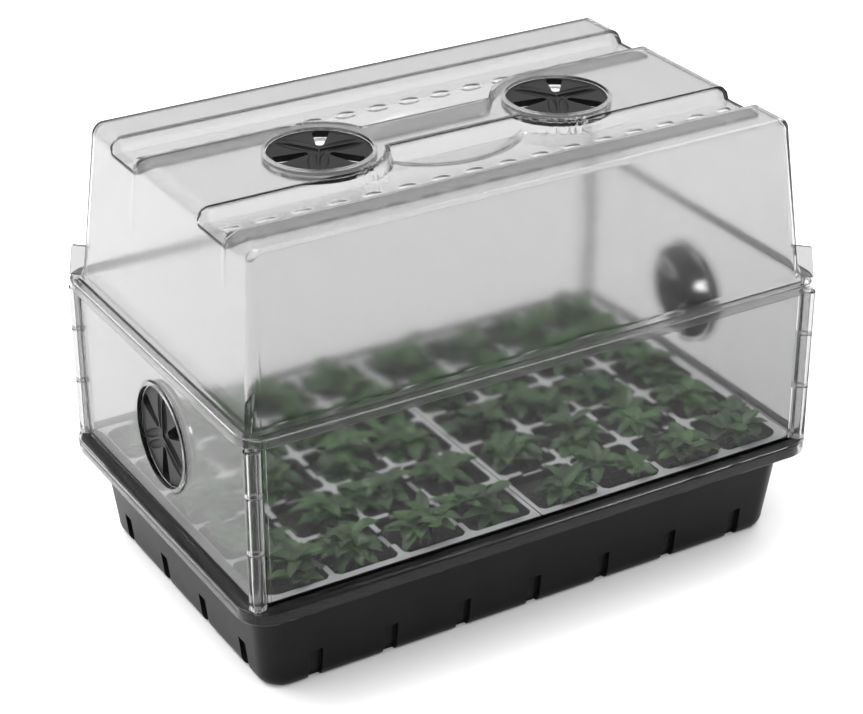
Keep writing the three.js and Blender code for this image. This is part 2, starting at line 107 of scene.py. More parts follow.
# ---------- materials ----------
def new_material(name):
    material = bpy.data.materials.new(name)
    material.use_nodes = True
    nodes = material.node_tree.nodes
    return material, nodes, material.node_tree.links, nodes["Principled BSDF"]


def add_node(nodes, kind, **values):
    node = nodes.new(kind)
    for key, value in values.items():
        if hasattr(node, key):
            setattr(node, key, value)
        else:
            node.inputs[key].default_value = value
    return node


def ramp(nodes, stops):
    node = nodes.new("ShaderNodeValToRGB")
    elements = node.color_ramp.elements
    while len(elements) < len(stops):
        elements.new(0.5)
    for element, (place, colour) in zip(elements, stops):
        element.position = place
        element.color = (*colour, 1)
    return node


def map_range(nodes, links, value, **ends):
    """Stretches one number to another range and gives the result's socket."""
    node = nodes.new("ShaderNodeMapRange")
    for key, end in ends.items():
        node.inputs[key.replace("_", " ")].default_value = end
    links.new(value, node.inputs["Value"])
    return node.outputs["Result"]


def calculated(nodes, links, operation, *values):
    node = add_node(nodes, "ShaderNodeMath", operation=operation)
    for socket, value in zip(node.inputs, values):
        links.new(value, socket)
    return node.outputs[0]


def colour_mix(nodes, links, mask, first, second):
    """Goes from the first colour to the second as the mask goes from 0 to 1."""
    mix = add_node(nodes, "ShaderNodeMix", data_type="RGBA")
    links.new(mask, mix.inputs["Factor"])
    if isinstance(first, bpy.types.NodeSocket):
        links.new(first, mix.inputs["A"])
    else:
        mix.inputs["A"].default_value = first
    mix.inputs["B"].default_value = (*second, 1)
    return mix.outputs["Result"]


def black_plastic(name, dark, light, roughness, grain, edge=0.5, gloss_level=0.25):
    """Moulded black plastic: a fine moulding grain, cloudy gloss, and softly rounded edges."""
    material, nodes, links, shader = new_material(name)
    place = nodes.new("ShaderNodeTexCoord")
    cloud = add_node(nodes, "ShaderNodeTexNoise", Scale=38.0, Detail=4.0)
    links.new(place.outputs["Object"], cloud.inputs["Vector"])
    tint = ramp(nodes, [(0.3, (dark,) * 3), (0.75, (light, light, light * 1.03))])
    links.new(cloud.outputs["Fac"], tint.inputs["Fac"])
    links.new(tint.outputs["Color"], shader.inputs["Base Color"])
    shader.inputs["Specular IOR Level"].default_value = gloss_level
    gloss = map_range(nodes, links, cloud.outputs["Fac"],
                      To_Min=roughness - 0.05, To_Max=roughness + 0.07)
    links.new(gloss, shader.inputs["Roughness"])
    fine = add_node(nodes, "ShaderNodeTexNoise", Scale=grain, Detail=3.0)
    links.new(place.outputs["Object"], fine.inputs["Vector"])
    soft = add_node(nodes, "ShaderNodeBevel", samples=4, Radius=edge * MM)
    bump = add_node(nodes, "ShaderNodeBump", Strength=0.06, Distance=0.0004)
    links.new(fine.outputs["Fac"], bump.inputs["Height"])
    links.new(soft.outputs["Normal"], bump.inputs["Normal"])
    links.new(bump.outputs["Normal"], shader.inputs["Normal"])
    return material


def clear_plastic(name, grey, roughness, density, sheen=1.0):
    """Clear plastic with a light haze. Lamps shine through it, and long ways in it go dark."""
    material, nodes, links, shader = new_material(name)
    shader.inputs["Base Color"].default_value = (grey, grey, grey, 1)
    shader.inputs["Transmission Weight"].default_value = 1.0
    shader.inputs["IOR"].default_value = 1.33
    shader.inputs["Specular Tint"].default_value = (sheen, sheen, sheen, 1)
    place = nodes.new("ShaderNodeTexCoord")
    haze = add_node(nodes, "ShaderNodeTexNoise", Scale=9.0, Detail=3.0)
    links.new(place.outputs["Object"], haze.inputs["Vector"])
    spread = map_range(nodes, links, haze.outputs["Fac"],
                       To_Min=roughness * 0.93, To_Max=roughness * 1.07)
    links.new(spread, shader.inputs["Roughness"])
    through = nodes.new("ShaderNodeBsdfTransparent")
    through.inputs["Color"].default_value = (0.97, 0.97, 0.97, 1)
    path = nodes.new("ShaderNodeLightPath")
    mix = nodes.new("ShaderNodeMixShader")
    links.new(path.outputs["Is Shadow Ray"], mix.inputs["Fac"])
    links.new(shader.outputs["BSDF"], mix.inputs[1])
    links.new(through.outputs["BSDF"], mix.inputs[2])
    out = nodes["Material Output"]
    links.new(mix.outputs["Shader"], out.inputs["Surface"])
    volume = nodes.new("ShaderNodeVolumeAbsorption")
    volume.inputs["Color"].default_value = (0.2, 0.2, 0.2, 1)
    volume.inputs["Density"].default_value = density
    links.new(volume.outputs["Volume"], out.inputs["Volume"])
    return material


def mottled(name, cloud_scale, cloud_detail, stops, roughness):
    """A material that a cloudy noise colours through a ramp."""
    material, nodes, links, shader = new_material(name)
    place = nodes.new("ShaderNodeTexCoord")
    cloud = add_node(nodes, "ShaderNodeTexNoise", Scale=cloud_scale, Detail=cloud_detail)
    links.new(place.outputs["Object"], cloud.inputs["Vector"])
    tint = ramp(nodes, stops)
    links.new(cloud.outputs["Fac"], tint.inputs["Fac"])
    links.new(tint.outputs["Color"], shader.inputs["Base Color"])
    shader.inputs["Roughness"].default_value = roughness
    return material


def bumpy(material, texture, output, strength, distance, **values):
    """Adds a bump that follows a texture of its own."""
    nodes, links = material.node_tree.nodes, material.node_tree.links
    place = nodes.new("ShaderNodeTexCoord")
    relief = add_node(nodes, texture, **values)
    links.new(place.outputs["Object"], relief.inputs["Vector"])
    bump = add_node(nodes, "ShaderNodeBump", Strength=strength, Distance=distance)
    links.new(relief.outputs[output], bump.inputs["Height"])
    links.new(bump.outputs["Normal"], nodes["Principled BSDF"].inputs["Normal"])
    return material


def soil_material():
    stops = [(0.3, (0.003, 0.0028, 0.0025)), (0.6, (0.012, 0.010, 0.008)),
             (0.8, (0.04, 0.036, 0.03))]
    return bumpy(mottled("growing_mix", 900.0, 5.0, stops, 0.9), "ShaderNodeTexVoronoi",
                 "Distance", 0.8, 0.0015, Scale=420.0)


def leaf_material():
    stops = [(0.3, (0.010, 0.030, 0.007)), (0.55, (0.030, 0.078, 0.021)),
             (0.8, (0.075, 0.155, 0.05))]
    return bumpy(mottled("seedling_leaf", 60.0, 2.0, stops, 0.42), "ShaderNodeTexNoise",
                 "Fac", 0.25, 0.0006, Scale=700.0, Detail=4.0)


def stem_material():
    return mottled("seedling_stem", 300.0, 2.0, [
        (0.3, (0.10, 0.16, 0.05)), (0.7, (0.22, 0.30, 0.12))], 0.5)


def floor_material():
    material = mottled("studio_floor", 2.0, 2.0, [(0.2, (0.93,) * 3), (0.8, (0.95,) * 3)], 0.9)
    shader = material.node_tree.nodes["Principled BSDF"]
    shader.inputs["Specular IOR Level"].default_value = 0.1
    return material


def painted_top_highlight(material, highlight_grey):
    """Painted highlight: the thin rims that face up are painted light grey in place of the overhead
    light they catch.
    """
    nodes, links = material.node_tree.nodes, material.node_tree.links
    shader = nodes["Principled BSDF"]
    base = shader.inputs["Base Color"].links[0].from_socket
    shape = nodes.new("ShaderNodeNewGeometry")
    split = nodes.new("ShaderNodeSeparateXYZ")
    links.new(shape.outputs["Normal"], split.inputs["Vector"])
    # painted highlight mask: faces whose normals point up
    top_highlight_mask = map_range(nodes, links, split.outputs["Z"], From_Min=0.75, From_Max=0.98)
    links.new(colour_mix(nodes, links, top_highlight_mask, base, highlight_grey), shader.inputs["Base Color"])


def roof_painted_light(material, channel_painted_light, crest):
    """Painted light and shade on the roof: the channels and their steps get a lighter tint that
    lifts the shade of the extra wall crossings there, and a thin band at the steps' crests gets a
    darker tint as a painted dark edge line.
    """
    nodes, links = material.node_tree.nodes, material.node_tree.links
    shader = nodes["Principled BSDF"]
    place = nodes.new("ShaderNodeTexCoord")
    split = nodes.new("ShaderNodeSeparateXYZ")
    links.new(place.outputs["Object"], split.inputs["Vector"])

    def times(a, b):
        return calculated(nodes, links, "MULTIPLY", a, b)

    def above(value, edge, soft):
        return map_range(nodes, links, value, From_Min=edge - soft, From_Max=edge + soft)

    def below(value, edge, soft):
        return map_range(nodes, links, value, From_Min=edge - soft, From_Max=edge + soft,
                         To_Min=1, To_Max=0)

    def heights(low, high, soft):
        return times(above(split.outputs["Z"], low, soft), below(split.outputs["Z"], high, soft))

    across = calculated(nodes, links, "ABSOLUTE", split.outputs["Y"])
    along = calculated(nodes, links, "ABSOLUTE", split.outputs["X"])
    inner = times(below(across, 0.0765, 0.0002), below(along, 0.1745, 0.0005))
    colour = shader.inputs["Base Color"].default_value[:]
    # painted light in the channels, painted shade along the steps' crests
    for mask, shade in ((heights(0.2695, 0.2800, 0.0003), channel_painted_light),
                        (heights(0.2812, 0.2826, 0.0001), crest)):
        colour = colour_mix(nodes, links, times(inner, mask), colour, (shade,) * 3)
    links.new(colour, shader.inputs["Base Color"])


CLEAR_DENSITY = 12.0  # how fast light fades along a way inside the plastic
TRAY_BLACK = black_plastic("tray_plastic", 0.003, 0.006, 0.34, 1600.0, 0.5, 0.11)
INSERT_BLACK = black_plastic("insert_plastic", 0.012, 0.022, 0.30, 1200.0, 0.35)
DIAL_BLACK = black_plastic("dial_plastic", 0.004, 0.007, 0.42, 1800.0, 0.35, 0.15)
CLEAR = clear_plastic("dome_plastic", 0.60, 0.125, CLEAR_DENSITY, 0.7)
CLEAR_WALL = clear_plastic("extension_plastic", 0.53, 0.085, CLEAR_DENSITY, 0.5)
CLEAR_FIN = clear_plastic("fin_plastic", 0.38, 0.08, CLEAR_DENSITY)
CLEAR_SMALL = clear_plastic("vent_seat_plastic", 0.9, 0.08, CLEAR_DENSITY)
# painted highlight on the insert plastic's up-facing rims
painted_top_highlight(INSERT_BLACK, (0.46, 0.465, 0.47))
# painted light in the roof's channels and painted shade on the steps' crests
roof_painted_light(CLEAR, 0.70, 0.22)
SOIL, LEAF, STEM = soil_material(), leaf_material(), stem_material()


# ---------- mesh helpers ----------
def mesh_of(name, solid):
    """A Blender mesh from a (points in mm, faces) solid."""
    verts, faces = solid
    mesh = bpy.data.meshes.new(name)
    mesh.from_pydata([tuple(float(c) * MM for c in v) for v in verts], [],
                     [tuple(map(int, f)) for f in faces])
    return mesh


def solid_of(mesh):
    """The other way: points in mm and faces from a Blender mesh."""
    return [tuple(v.co / MM) for v in mesh.vertices], [tuple(f.vertices) for f in mesh.polygons]


def finish_mesh(name, mesh, material, body, stands_for=(), slot=None, angle=35):
    """Makes a mesh a piece that rides on a body, smooth except over edges sharper than angle."""
    bm = bmesh.new()
    bm.from_mesh(mesh)
    bmesh.ops.recalc_face_normals(bm, faces=bm.faces)
    for face in bm.faces:
        face.smooth = True
    limit = math.radians(angle)
    for edge in bm.edges:
        edge.smooth = len(edge.link_faces) == 2 and edge.calc_face_angle(0) < limit
    bm.to_mesh(mesh)
    bm.free()
    mesh.materials.clear()
    mesh.materials.append(material)
    piece = bpy.data.objects.new(name, mesh)
    bpy.context.scene.collection.objects.link(piece)
    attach(piece, body)
    if stands_for:
        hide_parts(*stands_for)
    return piece


def make_object(name, solid, *looks, **more):
    return finish_mesh(name, mesh_of(name, solid), *looks, **more)


def ring(x, y, r, steps, cx=0.0, cy=0.0):
    """A rounded rectangle of half sizes x and y round a centre."""
    points = []
    for quarter, (sx, sy) in enumerate([(1, 1), (-1, 1), (-1, -1), (1, -1)]):
        for i in range(steps + 1):
            a = (quarter + i / steps) * math.pi / 2
            points.append((cx + sx * (x - r) + r * math.cos(a),
                           cy + sy * (y - r) + r * math.sin(a)))
    return points


def loft(sections, steps=8):
    """A closed solid through rounded rectangles (x, y, r, z[, cx, cy]), from the bottom up."""
    verts, faces = [], []
    for x, y, r, z, *centre in sections:
        verts += [(px, py, z) for px, py in ring(x, y, r, steps, *centre)]
    n = 4 * (steps + 1)
    for s in range(len(sections) - 1):
        for i in range(n):
            a, b = s * n + i, s * n + (i + 1) % n
            faces.append((a, b, b + n, a + n))
    faces.append(tuple(range(n - 1, -1, -1)))
    faces.append(tuple((len(sections) - 1) * n + i for i in range(n)))
    return verts, faces


def prism(points, z0, z1):
    """A flat outline pushed up along Z."""
    n = len(points)
    verts = [(x, y, z0) for x, y in points] + [(x, y, z1) for x, y in points]
    faces = [tuple(range(n - 1, -1, -1)), tuple(range(n, 2 * n))]
    faces += [(i, (i + 1) % n, n + (i + 1) % n, n + i) for i in range(n)]
    return verts, faces


def circle(r, steps=96, cx=0.0, cy=0.0):
    return [(cx + r * math.cos(2 * math.pi * i / steps),
             cy + r * math.sin(2 * math.pi * i / steps)) for i in range(steps)]


def box_solid(low, high):
    (x0, y0, z0), (x1, y1, z1) = low, high
    return prism([(x0, y0), (x1, y0), (x1, y1), (x0, y1)], z0, z1)


def moved(solid, matrix):
    verts, faces = solid
    return [tuple(matrix @ Vector(v)) for v in verts], faces


def scratch(solid):
    """A throwaway object for a boolean."""
    mesh = mesh_of("scratch", solid)
    bm = bmesh.new()
    bm.from_mesh(mesh)
    bmesh.ops.recalc_face_normals(bm, faces=bm.faces)
    bm.to_mesh(mesh)
    bm.free()
    thing = bpy.data.objects.new("scratch", mesh)
    bpy.context.scene.collection.objects.link(thing)
    return thing


def joined(solids):
    verts, faces = [], []
    for v, f in solids:
        base = len(verts)
        verts += list(v)
        faces += [tuple(i + base for i in face) for face in f]
    return verts, faces


def carved(first, steps):
    """Runs ("UNION" or "DIFFERENCE", solid) steps on the first solid and gives the mesh."""
    thing = scratch(first)
    for operation, solid in steps:
        other = scratch(solid)
        modifier = thing.modifiers.new("cut", "BOOLEAN")
        modifier.operation = operation
        modifier.object = other
        modifier.solver = "EXACT"
        modifier.use_self = True
        graph = bpy.context.evaluated_depsgraph_get()
        mesh = bpy.data.meshes.new_from_object(thing.evaluated_get(graph))
        thing.modifiers.clear()
        thing.data = mesh
        bpy.data.objects.remove(other)
    mesh = thing.data
    bpy.data.objects.remove(thing)
    return mesh


def smoothstep(t):
    t = np.clip(t, 0, 1)
    return t * t * (3 - 2 * t)


# ---------- dome lid ----------
def roof_height(x, y, inset):
    """Height of the roof's outside, or of its inside when inset is the wall's thickness."""
    ax, ay = np.abs(x), np.abs(y)
    from_vent = np.hypot(ax - VENT_X, y)
    raised = np.maximum.reduce([
        WAIST_Y - ay,
        np.minimum(CHANNEL_IN - ay, ax - VENT_X),
        BULGE_R - from_vent,
        ay - CHANNEL_OUT,
    ]) - inset
    z = CHANNEL_Z + (DOME_TOP - CHANNEL_Z) * smoothstep(raised / ROOF_STEP + 0.5)
    scoop = 1 - np.hypot(x / (SCOOP_X + inset), y / (SCOOP_Y + inset))
    z -= (SCOOP_DEPTH * smoothstep(scoop * SCOOP_Y / SCOOP_SLOPE + 0.1)
          * smoothstep(-raised / ROOF_STEP + 0.5))
    along = np.abs(ax % OVAL_PITCH - OVAL_PITCH / 2)
    oval = 1 - np.hypot(along / OVAL_HALF_X, (ay - OVAL_Y) / OVAL_HALF_Y)
    z -= OVAL_DEPTH * smoothstep(oval * 2.2) * (ax < OVAL_END)
    if inset == 0:
        bead = smoothstep((BEAD_R + 0.3 - from_vent) / 1.0)
        z += BEAD_RISE * (bead * (1 - smoothstep((HOLE_R + 0.5 - from_vent) / 0.8)))
    return z - inset


def axis_stops(half, fillet, steps, spacing, corner):
    """Grid lines across the roof: even on the flat, closer in the corner and over the fillet."""
    flat = half - max(fillet, corner)
    count = int(round(2 * flat / spacing))
    stops = list(np.linspace(-flat, flat, count + 1))
    extra = []
    if corner > fillet:
        extra += list(np.arange(flat + 0.6, half - fillet - 0.2, 0.6))
    first = 0 if corner > fillet else 1
    extra += [half - fillet + fillet * math.sin(math.pi / 2 * i / steps)
              for i in range(first, steps + 1)]
    return np.array([-v for v in reversed(extra)] + stops + extra)


def fillet_height(v, half, radius):
    over = np.clip(np.abs(v) - (half - radius), 0, radius)
    return DOME_TOP - radius + np.sqrt(np.maximum(radius * radius - over * over, 0))


def dome_mesh():
    """The lid as a grid over the roof, with rings going down from its border."""
    sx, sy, sr = SHOULDER
    spacing, snap_reach, close = 1.15, 0.58, 0.02
    still_x, still_y = 150, 80  # the grid is only pulled to the outline beyond these
    xs = axis_stops(sx, END_FILLET, 10, spacing, sr)
    ys = axis_stops(sy, SIDE_FILLET, 5, spacing, sr)
    grid_x, grid_y = np.meshgrid(xs, ys, indexing="ij")
    nx, ny = grid_x.shape
    layers = []
    for inset in (0.0, DOME_WALL):
        hx, hy, hr = sx - inset, sy - inset, sr - inset * 0.8
        over = np.clip(np.abs(grid_y) - (sy - sr), 0, sr) / sr
        end = hx - hr + hr * np.sqrt(np.maximum(1 - over * over, 0))
        far = np.clip(np.abs(grid_x) - still_x, 0, None)
        pulled = still_x + far * (end - still_x) / (sx - still_x)
        x = np.sign(grid_x) * np.where(far > 0, pulled, np.abs(grid_x))
        wide = np.clip(np.abs(grid_y) - still_y, 0, None)
        pulled = still_y + wide * (hy - still_y) / (sy - still_y)
        y = np.sign(grid_y) * np.where(wide > 0, pulled, np.abs(grid_y))
        for centre in (-VENT_X, VENT_X):
            r = np.hypot(x - centre, y)
            snap = np.abs(r - HOLE_R) < snap_reach
            x = np.where(snap, centre + (x - centre) * HOLE_R / r, x)
            y = np.where(snap, y * HOLE_R / r, y)
        z = np.minimum.reduce([
            roof_height(x, y, inset),
            fillet_height(grid_x, sx, END_FILLET) - inset,
            fillet_height(grid_y, sy, SIDE_FILLET) - inset,
        ])
        layers.append(np.stack([x, y, z], -1).reshape(-1, 3))
    index = np.arange(nx * ny).reshape(nx, ny)
    x, y = layers[0][:, 0], layers[0][:, 1]
    vent = np.minimum(np.hypot(x - VENT_X, y), np.hypot(x + VENT_X, y))
    inside = vent < HOLE_R - close
    on_rim = np.abs(vent - HOLE_R) < close
    faces = []
    for i in range(nx - 1):
        for j in range(ny - 1):
            quad = (index[i, j], index[i + 1, j], index[i + 1, j + 1], index[i, j + 1])
            hits = inside[list(quad)]
            if not hits.any() and not on_rim[list(quad)].all():
                faces.append(quad)
                continue
            if hits.all():
                continue
            a, b, c, d = quad
            halves = [(a, b, c), (a, c, d)] if on_rim[a] and on_rim[c] else [(a, b, d), (b, c, d)]
            for half in halves:
                if not inside[list(half)].any() and not on_rim[list(half)].all():
                    faces.append(half)
    # the walls, flange and skirt go down from the roof's border, ring by ring
    border = ([index[i, 0] for i in range(nx)] + [index[nx - 1, j] for j in range(1, ny)]
              + [index[i, ny - 1] for i in range(nx - 2, -1, -1)]
              + [index[0, j] for j in range(ny - 2, 0, -1)])
    start = layers[0][border]

    def on_rectangle(half_x, half_y, r):
        px, py = np.abs(start[:, 0]), np.abs(start[:, 1])
        a = np.arctan2(np.clip(py - (sy - sr), 0, None), np.clip(px - (sx - sr), 0, None))
        qx = np.where(px > sx - sr, half_x - r + r * np.cos(a), px * (half_x - r) / (sx - sr))
        qy = np.where(py > sy - sr, half_y - r + r * np.sin(a), py * (half_y - r) / (sy - sr))
        qx = np.where(py <= sy - sr, half_x, qx)
        qy = np.where(px <= sx - sr, half_y, qy)
        return np.stack([np.sign(start[:, 0]) * qx, np.sign(start[:, 1]) * qy], -1)

    bx, by, br = DOME_BASE
    fx, fy, fr = DOME_FLANGE

    def lower_rings(inset):
        rings = []
        top = layers[1 if inset else 0][border]
        foot = on_rectangle(bx - inset, by - inset, max(br - inset, 1))
        foot_z = FLANGE_Z + 1.6 - inset
        for t in np.linspace(0, 1, 10)[1:]:
            xy = top[:, :2] * (1 - t) + foot * t
            rings.append(np.column_stack([xy, top[:, 2] * (1 - t) + foot_z * t]))
        for out, z in [(0.5, 0.6), (1.6, 0.0)]:
            xy = on_rectangle(bx - inset + out, by - inset + out, br - inset + out)
            rings.append(np.column_stack([xy, np.full(len(xy), FLANGE_Z + z - inset)]))
        rim = DOME_WALL - 0.2 if inset else 0.0
        skirt_end = SKIRT_Z - FLANGE_Z + (0 if inset else 0.4)
        for out, z in [(-1.0, 0.0), (-0.3, -0.3), (0.0, -1.0), (0.0, skirt_end)]:
            xy = on_rectangle(fx - rim + out, fy - rim + out, fr - rim + out)
            level = FLANGE_Z + z - (inset if z > -2 else 0)
            rings.append(np.column_stack([xy, np.full(len(xy), level)]))
        if not inset:
            xy = on_rectangle(fx - 0.4, fy - 0.4, fr - 0.4)
            rings.append(np.column_stack([xy, np.full(len(xy), SKIRT_Z)]))
        return rings

    verts = [layers[0], layers[1]]
    total = 2 * nx * ny
    all_faces = list(faces) + [tuple(v + nx * ny for v in reversed(f)) for f in faces]
    n = len(border)
    lasts = []
    for layer, inset in ((0, 0.0), (1, DOME_WALL)):
        previous = np.array(border) + layer * nx * ny
        for points in lower_rings(inset):
            current = np.arange(total, total + n)
            verts.append(points)
            total += n
            for k in range(n):
                m = (k + 1) % n
                all_faces.append((previous[k], current[k], current[m], previous[m]))
            previous = current
        lasts.append(previous)
    for k in range(n):
        m = (k + 1) % n
        all_faces.append((lasts[0][k], lasts[1][k], lasts[1][m], lasts[0][m]))
    # the cut edge of each vent hole
    edges = {}
    for f in faces:
        for a, b in zip(f, f[1:] + f[:1]):
            edges[(int(a), int(b))] = edges.get((int(a), int(b)), 0) + 1
    for a, b in list(edges):
        if (b, a) not in edges and on_rim[a] and on_rim[b]:
            all_faces.append((b, a, a + nx * ny, b + nx * ny))
    return np.concatenate(verts), all_faces


def compacted(points, faces):
    """The same solid without the points that no face uses."""
    used = sorted({int(v) for f in faces for v in f})
    renumber = {old: new for new, old in enumerate(used)}
    return [points[i] for i in used], [tuple(renumber[int(v)] for v in f) for f in faces]


def corner_fin(side_x, side_y):
    turn = (Matrix.Translation((side_x * 188.4, side_y * 113.4, 0))
            @ Matrix.Rotation(math.atan2(side_y, side_x), 4, "Z")
            @ Matrix.Rotation(math.pi / 2, 4, "X"))
    low, high = FLANGE_Z - 0.2, FLANGE_Z + 20.0
    outline = [(2.5, low), (9.8, low), (7.2, high - 1), (6.4, high), (-6.0, high)]
    return moved(prism(outline, -0.9, 0.9), turn)


fins = [corner_fin(sx, sy) for sx in (-1, 1) for sy in (-1, 1)]
make_object("dome_shell", compacted(*dome_mesh()), CLEAR, "dome", ["dome_lid"], "clear", 40)
make_object("dome_fins", joined(fins), CLEAR_FIN, "dome")


# ---------- base tray ----------
def grown(x, y, r, z, by):
    """A loft section at height z, made larger all round."""
    return x + by, y + by, max(r + by, 0.8), z


def recess(along, wall, angle, grow):
    """A cutter for one recess between the feet, following the tray's wall from foot to top."""
    low, high, top = wall[0] - 0.6 - grow, wall[1] - grow, RECESS_TOP + grow
    far = wall[0] + 30
    outline = [(far, -2), (low, -2), (low, 1 + grow), (high - 2.8, 8 + grow),
               (high - 1.5, top - 1.4), (wall[1] + 1.6, top), (far, top)]
    place = (Matrix.Rotation(angle, 4, "Z") @ Matrix.Translation((0, along, 0))
             @ Matrix.Rotation(math.pi / 2, 4, "X"))
    return moved(prism(outline, -RECESS_HALF - grow, RECESS_HALF + grow), place)


def recesses(grow):
    long_wall, end_wall = (TRAY_FOOT[1], TRAY_BEND[1]), (TRAY_FOOT[0], TRAY_BEND[0])
    found = []
    for i in range(7):
        found += [recess((i - 3) * 50.6, long_wall, a, grow) for a in (math.pi / 2, -math.pi / 2)]
    for i in range(4):
        found += [recess((i - 1.5) * 53.5, end_wall, a, grow) for a in (0, math.pi)]
    return found


def corner_arch(sx, sy):
    """A cutter for the shallow arch under one corner."""
    place = (Matrix.Translation((sx * 165.5, sy * 92.8, 0))
             @ Matrix.Rotation(math.atan2(sy, sx), 4, "Z")
             @ Matrix.Translation((13.5, 0, -11.8)) @ Matrix.Rotation(math.pi / 2, 4, "Y"))
    return moved(prism(circle(14, 48), -6, 6), place)


def tray_mesh():
    foot, bend, top, rim, lip = TRAY_FOOT, TRAY_BEND, TRAY_TOP, TRAY_RIM, TRAY_LIP
    outside = []
    for i in range(7):
        a = i / 6 * math.pi / 2
        part = math.sin(a)
        outside.append((*(f + (e - f) * part for f, e in zip(foot, bend)),
                        FOOT_ROUND * (1 - math.cos(a))))
    outside += [(*top, 58.6), grown(*top, 59.0, 0.4), grown(*rim, 59.2, -0.6), (*rim, 59.8),
                (*rim, 64.6), grown(*rim, 65.4, -0.4), grown(*rim, 65.8, -1.2),
                grown(*lip, 65.8, 0.3), grown(*lip, 66.1, 0.0), grown(*lip, 66.9, 0.0),
                grown(*lip, 67.2, -0.3)]
    inside = [grown(*foot, 3.0, -0.8), grown(*bend, FOOT_ROUND, -TRAY_WALL),
              grown(*top, 61.0, -TRAY_WALL), grown(*top, 63.0, -1.8),
              grown(*lip, 65.7, -1.8), grown(*lip, 72.0, -1.8)]
    under = [grown(*rim, 56.0, -1.8), grown(*rim, 63.8, -1.8)]
    core = [grown(*top, 55.0, 1.2), grown(*top, 65.8, 1.2)]
    groove = carved(loft(under, 10), [("DIFFERENCE", loft(core, 10))])
    hollow = carved(loft(inside, 10), [("DIFFERENCE", joined(recesses(TRAY_WALL)))])
    arches = [corner_arch(sx, sy) for sx in (-1, 1) for sy in (-1, 1)]
    return carved(loft(outside, 10), [
        ("DIFFERENCE", solid_of(hollow)),
        ("DIFFERENCE", solid_of(groove)),
        ("DIFFERENCE", joined(recesses(0.0) + arches)),
    ])


finish_mesh("tray_shell", tray_mesh(), TRAY_BLACK, "base", ["base_tray"], "tray_black")


# ---------- extension panels ----------
def rounded_polygon(points, radii, steps=8):
    """A flat outline with each corner rounded to its own radius."""
    outline = []
    n = len(points)
    for i in range(n):
        p, before, after = Vector(points[i]), Vector(points[i - 1]), Vector(points[(i + 1) % n])
        u, v = (before - p).normalized(), (after - p).normalized()
        half = math.acos(max(-1, min(1, u.dot(v)))) / 2
        reach = radii[i] / math.tan(half)
        centre = p + (u + v).normalized() * (radii[i] / math.sin(half))
        first, last = p + u * reach - centre, p + v * reach - centre
        turn = first.angle_signed(last)
        for k in range(steps + 1):
            a = -turn * k / steps
            outline.append((centre.x + first.x * math.cos(a) - first.y * math.sin(a),
                            centre.y + first.x * math.sin(a) + first.y * math.cos(a)))
    return outline


def skirt_ring():
    """The flange and skirt over the tray's rim, all round."""
    s = SKIRT_RIM
    outside = [grown(*s, 60.2, -0.3), (*s, 60.6), (*s, 67.4), grown(*s, 68.2, -0.35),
               grown(*s, 68.6, -1.1)]
    under = [grown(*s, 55.0, -1.9), grown(*s, 66.1, -1.9)]
    middle = [(POST_X - 1, POST_Y - 1, 8, 0), (POST_X - 1, POST_Y - 1, 8, 100)]
    cuts = [("DIFFERENCE", loft(under, 12)), ("DIFFERENCE", loft(middle, 12))]
    return solid_of(carved(loft(outside, 12), cuts))


SKIRT = skirt_ring()


def skirt_share(wedge):
    """One panel's share of the skirt, mitred at the corners."""
    return solid_of(carved(SKIRT, [("INTERSECT", prism(wedge, 0, 100))]))


def barrel(x, y, z0, z1):
    """A hinge knuckle of a corner post."""
    return loft([(4.7, 4.7, 4.69, z0, x, y), (5, 5, 4.99, z0 + 0.3, x, y),
                 (5, 5, 4.99, z1 - 0.3, x, y), (4.7, 4.7, 4.69, z1, x, y)], 10)


def bevelled(piece, width):
    modifier = piece.modifiers.new("soft_edges", "BEVEL")
    modifier.width = width * MM
    modifier.segments = 2
    modifier.limit_method = "ANGLE"
    modifier.angle_limit = math.radians(50)
    return piece


def long_panel():
    x, y, seam, reach = POST_X, POST_Y, SEAM, SHARE_REACH
    end = x - POST_GAP
    share = [(-x - reach + seam, -y - reach), (x + reach - seam, -y - reach),
             (x - reach, -y + reach - seam), (-x + reach, -y + reach - seam)]
    steps = [("UNION", skirt_share(share))]
    for side in (-1, 1):
        px = side * x
        inner, outer = sorted((px, side * (end - 1)))
        for z0, z1 in OUTER_KNUCKLES:
            web = box_solid((inner, -y - 0.9, z0 + 0.2), (outer, -y + 0.9, z1 - 0.2))
            steps += [("UNION", web), ("UNION", barrel(px, -y, z0, z1))]
        strip = side * (end - STRIP_HALF)
        edge = box_solid((strip - STRIP_HALF, -y - 1.9, STRIP_LOW),
                         (strip + STRIP_HALF, -y + 0.5, STRIP_TOP))
        bore = prism(circle(PIN_BORE_R, 24, px, -y), 0, 200)
        steps += [("UNION", edge), ("DIFFERENCE", bore)]
    plate = box_solid((-end, -y - 1, PANEL_LOW), (end, -y + 1, PANEL_TOP))
    return carved(plate, steps)


